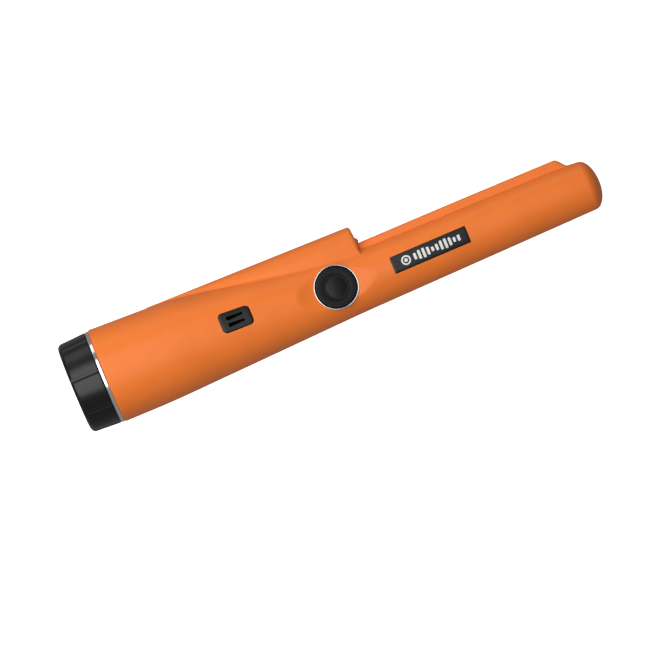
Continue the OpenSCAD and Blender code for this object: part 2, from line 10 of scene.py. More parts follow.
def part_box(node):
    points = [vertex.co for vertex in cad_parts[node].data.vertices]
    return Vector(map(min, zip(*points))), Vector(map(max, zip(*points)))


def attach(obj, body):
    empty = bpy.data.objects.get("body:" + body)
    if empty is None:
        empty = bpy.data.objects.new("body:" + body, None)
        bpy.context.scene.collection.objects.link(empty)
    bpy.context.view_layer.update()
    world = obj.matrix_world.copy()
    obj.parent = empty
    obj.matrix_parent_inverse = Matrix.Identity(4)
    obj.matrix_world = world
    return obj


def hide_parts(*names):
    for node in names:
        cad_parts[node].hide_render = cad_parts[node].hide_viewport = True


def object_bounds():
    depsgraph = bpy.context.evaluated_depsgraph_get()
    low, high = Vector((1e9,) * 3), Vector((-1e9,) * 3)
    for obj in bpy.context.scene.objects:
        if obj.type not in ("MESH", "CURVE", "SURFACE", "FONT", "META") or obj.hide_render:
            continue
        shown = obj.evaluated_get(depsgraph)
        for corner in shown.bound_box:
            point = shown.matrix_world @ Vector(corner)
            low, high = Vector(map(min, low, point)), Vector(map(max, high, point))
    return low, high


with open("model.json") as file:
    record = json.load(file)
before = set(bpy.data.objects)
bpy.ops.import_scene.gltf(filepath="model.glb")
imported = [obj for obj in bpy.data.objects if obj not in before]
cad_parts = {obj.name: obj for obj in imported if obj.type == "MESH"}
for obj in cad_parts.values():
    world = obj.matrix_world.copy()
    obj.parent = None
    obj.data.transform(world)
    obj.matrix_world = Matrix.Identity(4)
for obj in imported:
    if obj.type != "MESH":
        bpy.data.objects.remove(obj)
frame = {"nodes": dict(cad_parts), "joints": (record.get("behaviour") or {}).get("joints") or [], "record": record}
CAD_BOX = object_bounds()

# ---- Frame: millimetres along the probe from the cap's rear face, and across from its rear axis ----

MM = 0.001
RING_LO, RING_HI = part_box("trim_ring")
ORIGIN = np.array([CAD_BOX[0].x, (RING_LO.y + RING_HI.y) / 2, (RING_LO.z + RING_HI.z) / 2])
JOINTS = {joint["name"]: joint for joint in frame["joints"]}
SLOTS = {row["node"]: row["material_slot"] for row in frame["record"]["subparts"]}
BODY_OF = {
    node: body for body, nodes in frame["record"]["behaviour"]["bodies"].items() for node in nodes
}


def to_part(points):
    """Points in body millimetres to the part's metres."""
    return np.asarray(points, float) * MM + ORIGIN


def to_body(points):
    return (np.asarray(points, float) - ORIGIN) / MM


def mm_box(node):
    lo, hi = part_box(node)
    return to_body(lo), to_body(hi)


def node_points(node):
    """The vertices of a CAD node in body millimetres."""
    mesh = frame["nodes"][node].data
    co = np.zeros(len(mesh.vertices) * 3)
    mesh.vertices.foreach_get("co", co)
    return to_body(co.reshape(-1, 3))


# Driving dimensions of the body, in millimetres
LENGTH = mm_box("housing")[1][0]
HOUSING_X = mm_box("housing")[0][0]
WALL = 2.0
TIP_L = 5.5
TIP_X = LENGTH - TIP_L
STEP_X = 128.7
STEP_DRAFT = math.radians(5)
STEP_EDGE = 1.4
RIB_HALF = 3.4
RIB_EDGE = 1.5
SNUG = 0.05
# A radius that stands for the centre of a cap, and a reach past everything
POINT = 1e-4
FAR = 99
# Edges over this angle, in degrees, stay sharp
SHARP = 35


# ---- Small curves ----

def kink(x, at, value, before, after, width):
    """A line that changes slope at a place, rounded over a width on both sides."""
    d = np.asarray(x, float) - at
    bend = np.where(np.abs(d) < width, (d + width) ** 2 / (4 * width), np.maximum(d, 0))
    return value + before * d + (after - before) * bend


def smooth_max(a, b, k):
    h = np.maximum(k - np.abs(a - b), 0) / k
    return np.maximum(a, b) + h * h * k / 4


def smooth_min(a, b, k):
    return -smooth_max(-a, -b, k)


def ease(t):
    t = np.clip(t, 0, 1)
    return t * t * (3 - 2 * t)


def through(x, stations):
    """A smooth curve through a few (place, value) stations, level or sloped as its neighbours are."""
    px = np.array([s[0] for s in stations], float)
    py = np.array([s[1] for s in stations], float)
    slope = np.gradient(py, px)
    x = np.clip(x, px[0], px[-1])
    i = np.clip(np.searchsorted(px, x) - 1, 0, len(px) - 2)
    h = px[i + 1] - px[i]
    t = (x - px[i]) / h
    return (
        (1 + 2 * t) * (1 - t) ** 2 * py[i]
        + t * (1 - t) ** 2 * h * slope[i]
        + t * t * (3 - 2 * t) * py[i + 1]
        - t * t * (1 - t) * h * slope[i + 1]
    )


def fillet(points, closed=False, steps=5):
    """An outline of (a, b, radius) corners with each corner rounded by its radius."""
    out = []
    count = len(points)
    for i, (a, b, radius) in enumerate(points):
        p = np.array([a, b], float)
        if radius <= 0 or (not closed and i in (0, count - 1)):
            out.append(p)
            continue
        u = np.array(points[i - 1][:2], float) - p
        v = np.array(points[(i + 1) % count][:2], float) - p
        lu, lv = np.linalg.norm(u), np.linalg.norm(v)
        u, v = u / lu, v / lv
        half = math.acos(np.clip(u @ v, -1, 1)) / 2
        reach = min(radius / math.tan(half), 0.49 * lu, 0.49 * lv)
        radius = reach * math.tan(half)
        centre = p + (u + v) / np.linalg.norm(u + v) * radius / math.sin(half)
        start, end = p + u * reach - centre, p + v * reach - centre
        turn = math.atan2(start[0] * end[1] - start[1] * end[0], start @ end)
        for k in range(steps + 1):
            t = turn * k / steps
            c, s = math.cos(t), math.sin(t)
            out.append(centre + np.array([c * start[0] - s * start[1], s * start[0] + c * start[1]]))
    return np.array(out)


# ---- Mesh helpers ----

def mesh_object(name, points, faces, sharp=SHARP):
    """An object from body-frame points and faces, smooth but for edges over an angle."""
    mesh = bpy.data.meshes.new(name)
    mesh.from_pydata(to_part(points).tolist(), [], faces)
    bm = bmesh.new()
    bm.from_mesh(mesh)
    bmesh.ops.remove_doubles(bm, verts=bm.verts, dist=1e-7)
    bmesh.ops.dissolve_degenerate(bm, edges=bm.edges, dist=1e-8)
    bmesh.ops.recalc_face_normals(bm, faces=bm.faces)
    bm.to_mesh(mesh)
    bm.free()
    obj = bpy.data.objects.new(name, mesh)
    bpy.context.scene.collection.objects.link(obj)
    shade(obj, sharp)
    return obj


def shade(obj, sharp):
    mesh = obj.data
    mesh.polygons.foreach_set("use_smooth", [True] * len(mesh.polygons))
    mesh.set_sharp_from_angle(angle=math.radians(sharp))


def ring_faces(count, sides, loop=False):
    """Quads between rings of points, each ring closed on itself; with loop the last ring joins the first."""
    index = np.arange(count * sides).reshape(count, sides)
    a = index if loop else index[:-1]
    b = np.roll(index, -1, axis=0) if loop else index[1:]
    quads = np.stack([a, b, np.roll(b, -1, axis=1), np.roll(a, -1, axis=1)], axis=-1)
    return quads.reshape(-1, 4).tolist()


def skin(name, rings, loop=False, sharp=SHARP):
    """A closed mesh through rings of points: a tube round a loop, or capped at both ends."""
    rings = np.asarray(rings, float)
    count, sides = rings.shape[:2]
    faces = ring_faces(count, sides, loop)
    if not loop:
        faces.append(list(range(sides)))
        faces.append(list(range((count - 1) * sides, count * sides)))
    return mesh_object(name, rings.reshape(-1, 3), faces, sharp)


def axes_of(direction):
    """Two unit vectors square to a direction."""
    d = np.array(direction, float)
    d /= np.linalg.norm(d)
    side = np.cross([0, 1, 0], d) if abs(d[1]) < 0.9 else np.cross([0, 0, 1], d)
    side /= np.linalg.norm(side)
    return d, side, np.cross(d, side)


def lathe(name, profile, point, direction, steps=144, loop=False, sharp=SHARP, wave=None):
    """A turned form: profile is (along, radius) pairs, and wave may change the radius round the turn."""
    d, u, v = axes_of(direction)
    turn = np.linspace(0, 2 * math.pi, steps, endpoint=False)
    rings = []
    for along, radius in profile:
        r = np.full(steps, max(radius, POINT))
        if wave is not None:
            r = wave(along, r, turn)
        rings.append(
            np.array(point) + along * d
            + r[:, None] * (np.cos(turn)[:, None] * u + np.sin(turn)[:, None] * v)
        )
    return skin(name, rings, loop, sharp)


def subtract(obj, cutter):
    """Takes the cutter's space out of a piece, and removes the cutter."""
    modifier = obj.modifiers.new("cut", "BOOLEAN")
    modifier.object = cutter
    modifier.operation = "DIFFERENCE"
    modifier.solver = "MANIFOLD"
    graph = bpy.context.evaluated_depsgraph_get()
    mesh = bpy.data.meshes.new_from_object(obj.evaluated_get(graph))
    obj.modifiers.clear()
    old = obj.data
    obj.data = mesh
    bpy.data.meshes.remove(old)
    bpy.data.objects.remove(cutter)


def cut(obj, *cutters):
    for cutter in cutters:
        subtract(obj, cutter)
    shade(obj, SHARP)


def join(name, objects):
    """Several meshes as one object."""
    with bpy.context.temp_override(active_object=objects[0], selected_editable_objects=objects):
        bpy.ops.object.join()
    objects[0].name = name
    return objects[0]


def finish_piece(obj, node, material, replaces=True):
    """Puts a piece on its CAD node's body, in the material it is given."""
    obj.data.materials.clear()
    obj.data.materials.append(material)
    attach(obj, BODY_OF[node])
    if replaces:
        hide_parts(node)
    return obj


# ---- Body surface, as a reach from a centre line ----

def top_y(x):
    """Top of the tapered body without its shoulder."""
    tapered = kink(x, 45, 19.14, -0.033, -0.133, 7)
    return tapered + kink(x, 128, 0, 0, 0.128, 8) + kink(x, 214, 0, 0, -0.075, 4)


def bottom_y(x):
    return kink(x, 35.5, -20.0, 0, 0.0415, 7) + kink(x, 121, 0, 0, -0.018, 6)


def centre_y(x):
    return (top_y(x) + bottom_y(x)) / 2


def body_r(x):
    """Radius of the round body, closed by the elliptical tip."""
    return (top_y(x) - bottom_y(x)) / 2


def shoulder_top(x):
    return 19.47 - 0.0126 * (x - 43)


SHOULDER_HALF = [(40, 0.2), (50, 0.6), (61, 2.6), (72, 5.6), (84, 7.2), (99, 8.2), (113, 8.2), (129, 7.6)]


def shoulder_reach(x, angle):
    half = through(x, SHOULDER_HALF)
    rise = shoulder_top(x) - half - centre_y(x)
    c, s = np.cos(angle), np.maximum(np.abs(np.sin(angle)), 1e-6)
    flank = half / s
    crown = rise * c + np.sqrt(np.maximum(half ** 2 - (rise * s) ** 2, 0))
    reach = np.where(flank * c < rise, flank, crown)
    return np.where(c > 0, reach, 0)


def rib_top(x):
    """Height of the scraping rib, which slopes down into the tube before the tip."""
    high = kink(x, 172, 11.0, 0.008, 0.002, 15)
    slope = ease((x - 215.8) / 5.2)
    return high + (top_y(x) - 0.5 - high) * slope


def rib_reach(x, angle):
    top = rib_top(x) - centre_y(x)
    c, s = np.maximum(np.cos(angle), 1e-6), np.maximum(np.abs(np.sin(angle)), 1e-6)
    flat_half, corner_y = RIB_HALF - RIB_EDGE, top - RIB_EDGE
    by_top, by_flank = top / c, RIB_HALF / s
    b = flat_half * s + corner_y * c
    corner = b + np.sqrt(np.maximum(b * b - (flat_half ** 2 + corner_y ** 2 - RIB_EDGE ** 2), 0))
    reach = np.where(by_top * s <= flat_half, by_top, np.where(by_flank * c <= corner_y, by_flank, corner))
    return np.where(np.cos(angle) > 0, reach, 0)


# Button's frame: the middle of its bezel, and its direction outwards
PRESS = -np.array(JOINTS["button_press"]["axis"], float)
BUTTON_LO, BUTTON_HI = mm_box("button_bezel")
BUTTON_POINT = (BUTTON_LO + BUTTON_HI) / 2
BUTTON_TILT = math.atan2(PRESS[0], PRESS[2])


def along_press(node):
    """Lowest and highest place of a CAD node along the button's axis, from the bezel's middle."""
    heights = (node_points(node) - BUTTON_POINT) @ PRESS
    return heights.min(), heights.max()


BEZEL_R = (BUTTON_HI[1] - BUTTON_LO[1]) / 2
BUTTON_FLOOR = along_press("button_bezel")[1] - 1.2
RECESS_DEPTH = 2.3
RECESS_L = 30.6
RECESS_SHIFT = 1.1
RECESS_R = ((RECESS_L / 2) ** 2 + RECESS_DEPTH ** 2) / (2 * RECESS_DEPTH)


def recess_reach(x, angle):
    """Where the thumb recess, a scoop across the button, stops the body's reach."""
    d = x - BUTTON_POINT[0]
    z = np.zeros_like(angle)
    c, s = math.cos(BUTTON_TILT), math.sin(BUTTON_TILT)
    for _ in range(3):
        local = d * c - z * s + RECESS_SHIFT
        z = (BUTTON_FLOOR + local ** 2 / (2 * RECESS_R) - d * s) / c
    up = np.sin(angle)
    reach = (z + BUTTON_POINT[2]) / np.maximum(up, 1e-6)
    return np.where(up > 0.05, reach, FAR)


def outer_reach(x, angle, with_shoulder=True):
    """Distance of the housing's skin from its centre line, at a place and an angle from the shoulder."""
    reach = body_r(x) + np.zeros_like(angle)
    if with_shoulder and x > SHOULDER_HALF[0][0]:
        proud = shoulder_top(x) - top_y(x)
        soft = 0.9 + 1.6 * (1 - ease((x - 50) / 30))
        reach = smooth_max(reach, shoulder_reach(x, angle), min(soft, max(proud, 0.02)))
    rib = np.where(x > STEP_X - 3, rib_reach(x, angle), 0)
    reach = smooth_max(reach, rib, 0.5)
    near = np.abs(x - BUTTON_POINT[0]) < RECESS_L
    return smooth_min(reach, np.where(near, recess_reach(x, angle), FAR), 0.25)


def half_angles():
    """Angles from the shoulder to the back, close together where the shoulder and rib have edges."""
    spans = [(0, 9, 1.5), (9, 22, 0.5), (22, 60, 1.5), (60, 180, 2)]
    return [a for lo, hi, step in spans for a in np.arange(lo, hi, step)] + [180]


HALF = half_angles()
ANGLES = np.radians(HALF + [-a for a in HALF[-2:0:-1]])


def ring(x, reach, middle=None):
    """A ring of points at a place, or at one place per angle, round the centre line or another middle."""
    x = np.broadcast_to(x, ANGLES.shape)
    y = (centre_y(x) if middle is None else middle) + reach * np.cos(ANGLES)
    return np.stack([x, y, reach * np.sin(ANGLES)], axis=-1)


def step_rings():
    """Rings down the step's face: its rounded top edge, the leaning face and a small fillet at its foot."""
    rear = STEP_X - STEP_EDGE
    drop = np.maximum(outer_reach(rear, ANGLES) - outer_reach(rear, ANGLES, False), 0)
    edge_h = np.minimum(STEP_EDGE, 0.6 * drop)
    edge_l = np.maximum(edge_h, 0.25)
    foot_h = np.minimum(0.8, 0.3 * drop)
    foot_l = np.maximum(foot_h, 0.15)
    lean = (drop - edge_h - foot_h) * math.tan(STEP_DRAFT)
    stations = [
        (STEP_X - edge_l * (1 - math.sin(t)), edge_h * (1 - math.cos(t)))
        for t in np.linspace(0, math.pi / 2, 8)
    ]
    stations += [
        (STEP_X + lean * t, edge_h + (drop - edge_h - foot_h) * t) for t in np.linspace(0, 1, 7)[1:-1]
    ]
    stations += [
        (STEP_X + lean + foot_l * (1 - math.cos(t)), drop - foot_h * (1 - math.sin(t)))
        for t in np.linspace(0, math.pi / 2, 6)
    ]
    return [ring(x, outer_reach(x, ANGLES, False) + drop - fallen) for x, fallen in stations]


def tip_rings(reach, length, count):
    """Rings that close the front end from a reach, as an ellipse of a length."""
    return [
        ring(TIP_X + length * math.sin(t), np.maximum(reach * math.cos(t), POINT), centre_y(TIP_X))
        for t in np.linspace(0, math.pi / 2, count)[1:]
    ]


def places(*spans):
    return [x for lo, hi, step in spans for x in np.arange(lo, hi - step / 2, step)]


def outer_form():
    rear_edge = 0.35
    rings = [
        ring(HOUSING_X + rear_edge * (1 - math.cos(t)), body_r(HOUSING_X) - rear_edge * (1 - math.sin(t)))
        for t in np.linspace(0, math.pi / 2, 5)
    ]
    for x in places((16, 34, 2), (34, 96, 1.25), (96, STEP_X - STEP_EDGE - 0.4, 0.7)):
        rings.append(ring(x, outer_reach(x, ANGLES)))
    rings += step_rings()
    for x in places((131.4, 134, 0.8), (134, 212, 2), (212, TIP_X, 0.5)) + [TIP_X]:
        rings.append(ring(x, outer_reach(x, ANGLES, False)))
    return skin("housing_shell", rings + tip_rings(outer_reach(TIP_X, ANGLES, False), TIP_L, 17))


def inner_form():
    """The space inside the shell, a wall's thickness under the round body and the shoulder."""
    rings = []
    for x in places((26, 96, 5), (96, STEP_X - 2.5, 4)) + [STEP_X - WALL - 0.3]:
        reach = np.full_like(ANGLES, body_r(x) - WALL)
        if x > 88:
            hollow = shoulder_reach(x, ANGLES) - WALL - 0.6
            reach = np.maximum(reach, np.minimum(hollow, shoulder_top(x) - centre_y(x) - WALL))
        rings.append(ring(x, reach))
    for x in [STEP_X - WALL] + places((130, TIP_X, 8)) + [TIP_X]:
        rings.append(ring(x, np.full_like(ANGLES, body_r(x) - WALL)))
    return skin("inner_form", rings + tip_rings(body_r(TIP_X) - WALL, TIP_L - WALL, 7))


def bored_space():
    """Inner space with the button's boss left standing in it."""
    space = inner_form()
    boss = lathe("boss", [(-4.5 + BUTTON_FLOOR, BEZEL_R + 0.85), (20, BEZEL_R + 0.85)], BUTTON_POINT, PRESS)
    subtract(space, boss)
    return space


def rounded_outline(length, width, radius, per_corner=8, taper=0.0):
    """A rounded rectangle round the origin; taper narrows its front end by that share."""
    corners = [(length / 2 * a, width / 2 * b) for a, b in ((1, -1), (1, 1), (-1, 1), (-1, -1))]
    points = fillet(
        [(x, y * (1 - taper * x / length), radius) for x, y in corners], closed=True, steps=per_corner)
    dense = []
    for p, q in zip(points, np.roll(points, -1, axis=0)):
        pieces = max(1, int(np.linalg.norm(q - p) / 0.6))
        dense += [p + (q - p) * k / pieces for k in range(pieces)]
    return np.array(dense)


def on_skin(x, across, lift, roll):
    """Points above the round body at a roll from straight up towards the shoulder."""
    radius = body_r(x) + lift
    height = np.sqrt(np.maximum(radius ** 2 - across ** 2, 0))
    c, s = math.cos(roll), math.sin(roll)
    return np.stack([x, centre_y(x) + across * c + height * s, height * c - across * s], axis=-1)


def patch(name, outline, x, roll, low, high, edge, floor=None):
    """A plate on the body with a rounded edge. Its top follows the skin, and so does its underside,
    unless a floor gives that a height of its own."""
    def loop(scale, lift):
        size = np.abs(outline).max(axis=0)
        points = outline * np.maximum(1 - scale / size, POINT)
        if lift is None:
            c, s = math.cos(roll), math.sin(roll)
            y = centre_y(x) + points[:, 1] * c + floor * s
            return np.stack([x + points[:, 0], y, floor * c - points[:, 1] * s], axis=-1)
        return on_skin(x + points[:, 0], points[:, 1], lift, roll)

    half = np.abs(outline).max(axis=0).min()
    inward = [half * t for t in (0.999, 0.75, 0.5, 0.25)]
    bottom = None if floor is not None else low
    rings = [loop(s, bottom) for s in inward] + [loop(0, bottom)]
    for t in np.linspace(0, math.pi / 2, 6):
        rings.append(loop(edge * (1 - math.cos(t)), high - edge * (1 - math.sin(t))))
    rings += [loop(max(s, edge), high) for s in inward[::-1]]
    return skin(name, rings)


# ---- Materials ----

def node_of(tree, kind, **values):
    node = tree.nodes.new(kind)
    for name, value in values.items():
        if hasattr(node, name):
            setattr(node, name, value)
        else:
            node.inputs[name.replace("_", " ")].default_value = value
    return node


def textured(
        name, colour, roughness, grain=0.0005, bump=0.1, tint=0.06, rough_tint=0.06, wear=0.0, **sockets):
    """A material with fine surface grain, slow colour change and a roughness that varies with it.
    grain is the size of the surface texture in metres, and wear lightens the edges."""
    material = bpy.data.materials.new(name)
    material.use_nodes = True
    tree = material.node_tree
    shader = tree.nodes["Principled BSDF"]
    place = node_of(tree, "ShaderNodeTexCoord").outputs["Object"]
    slow = node_of(tree, "ShaderNodeTexNoise", Scale=90.0, Detail=3.0)
    fine = node_of(tree, "ShaderNodeTexNoise", Scale=0.6 / grain, Detail=2.0)
    tree.links.new(place, slow.inputs["Vector"])
    tree.links.new(place, fine.inputs["Vector"])
    ramp = node_of(tree, "ShaderNodeValToRGB")
    dark = [c * (1 - tint) for c in colour] + [1]
    light = [min(c * (1 + tint), 1) for c in colour] + [1]
    ramp.color_ramp.elements[0].position, ramp.color_ramp.elements[0].color = 0.35, dark
    ramp.color_ramp.elements[1].position, ramp.color_ramp.elements[1].color = 0.65, light
    tree.links.new(slow.outputs["Fac"], ramp.inputs["Fac"])
    tree.links.new(worn(tree, ramp.outputs["Color"], colour, wear), shader.inputs["Base Color"])
    spread = node_of(tree, "ShaderNodeMapRange")
    spread.inputs["To Min"].default_value = max(roughness - rough_tint, 0.02)
    spread.inputs["To Max"].default_value = min(roughness + rough_tint, 1)
    tree.links.new(slow.outputs["Fac"], spread.inputs["Value"])
    tree.links.new(spread.outputs["Result"], shader.inputs["Roughness"])
    relief = node_of(tree, "ShaderNodeBump", Strength=bump, Distance=grain * 0.25)
    tree.links.new(fine.outputs["Fac"], relief.inputs["Height"])
    tree.links.new(relief.outputs["Normal"], shader.inputs["Normal"])
    for socket, value in sockets.items():
        shader.inputs[socket.replace("_", " ")].default_value = value
    return material


def worn(tree, source, colour, wear):
    """The colour with a little lightening along convex edges."""
    if not wear:
        return source
    edge = node_of(tree, "ShaderNodeMapRange")
    edge.inputs["From Min"].default_value = 0.52
    edge.inputs["From Max"].default_value = 0.62
    edge.inputs["To Max"].default_value = wear
    tree.links.new(node_of(tree, "ShaderNodeNewGeometry").outputs["Pointiness"], edge.inputs["Value"])
    mix = node_of(tree, "ShaderNodeMix", data_type="RGBA")
    colour_in = [s for s in mix.inputs if s.name == "A" and s.type == "RGBA"][0]
    colour_b = [s for s in mix.inputs if s.name == "B" and s.type == "RGBA"][0]
    colour_b.default_value = [min(c * 1.25 + 0.04, 1) for c in colour] + [1]
    tree.links.new(edge.outputs["Result"], mix.inputs["Factor"])
    tree.links.new(source, colour_in)
    return [s for s in mix.outputs if s.type == "RGBA"][0]


def banded(name, colour, across, period, roughness, metallic):
    """Wire or winding: fine ridges along an axis in a tinted metal."""
    material = textured(name, colour, roughness, Metallic=metallic)
    tree = material.node_tree
    wave = node_of(tree, "ShaderNodeTexWave", bands_direction=across, Scale=math.pi / period / 10)
    tree.links.new(node_of(tree, "ShaderNodeTexCoord").outputs["Object"], wave.inputs["Vector"])
    relief = node_of(tree, "ShaderNodeBump", Strength=0.6, Distance=period * 0.4)
    tree.links.new(wave.outputs["Fac"], relief.inputs["Height"])
    tree.links.new(relief.outputs["Normal"], tree.nodes["Principled BSDF"].inputs["Normal"])
    return material


MATERIALS = {
    "housing_plastic": textured(
        "orange_plastic", (0.84, 0.192, 0.028), 0.38, grain=0.0006, bump=0.12, tint=0.025, wear=0.25,
        Specular_IOR_Level=0.25),
    "black_plastic": textured(
        "black_plastic", (0.003, 0.003, 0.0032), 0.27, grain=0.0004, bump=0.12, wear=0.05,
        Specular_IOR_Level=0.4),
    "bright_metal": textured(
        "bright_chrome", (0.80, 0.80, 0.82), 0.14, grain=0.002, bump=0.02, tint=0.03, rough_tint=0.05,
        Metallic=1.0),
    "black_rubber": textured(
        "black_rubber", (0.004, 0.004, 0.0043), 0.40, grain=0.0005, bump=0.3, tint=0.12,
        Specular_IOR_Level=0.22),
    "label_film": textured(
        "label_film", (0.004, 0.004, 0.005), 0.22, grain=0.003, bump=0.02, rough_tint=0.03,
        Specular_IOR_Level=0.3, Coat_Weight=0.05, Coat_Roughness=0.1),
    "foam": textured("open_cell_foam", (0.05, 0.05, 0.055), 0.95, grain=0.0009, bump=1.0, tint=0.4),
    "battery_steel": textured(
        "battery_lacquer", (0.03, 0.035, 0.05), 0.3, grain=0.002, bump=0.05, Metallic=0.5, Coat_Weight=0.5),
    "cell_metal": textured("cell_cans", (0.5, 0.5, 0.52), 0.3, grain=0.001, bump=0.1, Metallic=1.0),
    "brass": textured("spring_brass", (0.72, 0.50, 0.16), 0.25, grain=0.001, bump=0.05, Metallic=1.0),
    "board": textured(
        "solder_resist", (0.01, 0.10, 0.035), 0.3, grain=0.0006, bump=0.1, tint=0.2, Coat_Weight=0.4),
    "component_black": textured("moulded_black", (0.02, 0.02, 0.021), 0.5, grain=0.0004, bump=0.25),
    "component_cream": textured("fired_ceramic", (0.48, 0.40, 0.29), 0.4, grain=0.0003, bump=0.1, tint=0.15),
    "capacitor_sleeve": textured("shrink_sleeve", (0.02, 0.025, 0.09), 0.25, grain=0.002, bump=0.05),
    "lead_red": textured("red_insulation", (0.45, 0.02, 0.015), 0.4, grain=0.0006, bump=0.15),
    "lead_black": textured("black_insulation", (0.015, 0.015, 0.015), 0.4, grain=0.0006, bump=0.15),
    "lead_blue": textured("blue_insulation", (0.02, 0.06, 0.35), 0.4, grain=0.0006, bump=0.15),
    "tinned_wire": textured("tinned_wire", (0.6, 0.6, 0.61), 0.3, grain=0.0006, bump=0.1, Metallic=1.0),
    "ferrite": textured("sintered_ferrite", (0.035, 0.033, 0.033), 0.6, grain=0.0005, bump=0.5, tint=0.2),
    "former_plastic": textured("former_plastic", (0.62, 0.56, 0.42), 0.5, grain=0.0006, bump=0.15),
    "copper_wire": banded("enamelled_wire", (0.55, 0.18, 0.06), "X", 0.0004, 0.3, 0.9),
    "membrane": textured(
        "gauze", (0.003, 0.003, 0.0032), 0.9, grain=0.0003, bump=1.0, tint=0.2, Specular_IOR_Level=0.08),
    "clear_lens": textured(
        "lens_resin", (0.93, 0.95, 0.97), 0.08, grain=0.003, bump=0.02, tint=0.01, rough_tint=0.02,
        Transmission_Weight=0.75, IOR=1.5),
}
INK = textured("label_ink", (0.72, 0.72, 0.72), 0.4, grain=0.0004, bump=0.15, tint=0.05)
DIE = textured("lamp_die", (0.85, 0.83, 0.70), 0.35, grain=0.0003, bump=0.2)
CUP = textured("lamp_cup", (0.7, 0.7, 0.72), 0.2, grain=0.0006, bump=0.1, Metallic=1.0)


# ---- Housing ----

LED_R = 1.5


def build_housing():
    shell = outer_form()
    collar_hi = mm_box("threaded_collar")[1]
    collar_r = collar_hi[2]
    bore = lathe(
        "bore", [(HOUSING_X - 1, collar_r + SNUG), (collar_hi[0] + 0.3, collar_r + SNUG)],
        (0, 0, 0), (1, 0, 0))
    well = lathe(
        "well", [(BUTTON_FLOOR - 5.5, BEZEL_R + SNUG), (20, BEZEL_R + SNUG)], BUTTON_POINT, PRESS, steps=180)
    led_lo, led_hi = mm_box("led")
    led_y = (led_lo[1] + led_hi[1]) / 2
    hole_r, mouth_r = LED_R + 0.1, LED_R + 0.35
    socket = lathe(
        "socket", [(STEP_X - WALL - 1, hole_r), (STEP_X + 0.4, hole_r), (STEP_X + 0.75, mouth_r),
                   (STEP_X + 3.2, mouth_r)],
        (0, led_y, 0), (1, 0, 0), steps=72)
    pocket = patch("pocket", VENT_OUTLINE * 1.012, VENT_X, VENT_ROLL, 0, 3, 0.05, floor=11)
    cut(shell, bored_space(), bore, well, pocket, socket)
    return finish_piece(shell, "housing", MATERIALS["housing_plastic"])


# ---- Battery end ----

THREAD_H = 0.7
THREAD_PITCH = 4.0


def thread(x, turn, start_x, turns):
    """Height of a thread's ridge, as a share, at a place and angle; the ridge fades in and out."""
    angle = turn / (2 * math.pi)
    height = np.zeros_like(turn)
    for lap in range(int(math.ceil(turns))):
        t = angle + lap
        middle = start_x + THREAD_PITCH * t
        ridge = np.clip((0.82 - np.abs(x - middle)) / 0.32, 0, 1)
        fade = np.clip(t / 0.04, 0, 1) * np.clip((turns - t) / 0.04, 0, 1)
        height = np.maximum(height, ridge * fade)
    return height


def build_cap():
    lo, hi = mm_box("battery_cap")
    length, radius, front_r = hi[0] - lo[0], 19.2, 19.75
    rear_edge, floor_x, bore_r = 2.2, 3.0, 17.9
    grooves, groove_half, groove_depth, first = 8, 1.5, 0.42, math.radians(-7)

    def wave(x, r, turn):
        if r[0] > bore_r + 0.2:
            pitch = 2 * math.pi / grooves
            off = np.mod(turn - first + pitch / 2, pitch) - pitch / 2
            side = np.clip(np.abs(off) * radius / groove_half, 0, 1)
            deep = groove_depth * ease((r[0] - bore_r - 0.2) / 0.8) * ease((x - 0.2) / 1.0)
            return r - deep * (1 - side ** 2) ** 2
        if abs(r[0] - bore_r) < 0.05:
            return r - THREAD_H * thread(x, turn, 7.0, 0.75)
        return r

    profile = [(0.0, 0.0), (0.0, 6.0), (0.0, 12.0), (0.0, 15.5)]
    profile += [
        (rear_edge * (1 - math.cos(t)), radius - rear_edge * (1 - math.sin(t)))
        for t in np.linspace(0, math.pi / 2, 12)
    ]
    flare = (front_r - radius) / (length - rear_edge)
    profile += [(x, radius + flare * (x - rear_edge)) for x in np.arange(3.2, length - 0.4, 0.8)]
    profile += [
        (length - 0.35 * (1 - math.sin(t)), front_r - 0.35 * (1 - math.cos(t)))
        for t in np.linspace(0, math.pi / 2, 5)
    ]
    profile += [(length, bore_r + 0.15), (length - 0.15, bore_r)]
    profile += [(x, bore_r) for x in np.arange(length - 0.4, floor_x + 0.3, -0.2)]
    profile += [(floor_x + 0.15, bore_r), (floor_x, bore_r - 0.15), (floor_x, 9.0), (floor_x, 0.0)]
    cap = lathe("battery_cap_shell", profile, (0, 0, 0), (1, 0, 0), steps=480, wave=wave, sharp=40)
    return finish_piece(cap, "battery_cap", MATERIALS["black_plastic"])


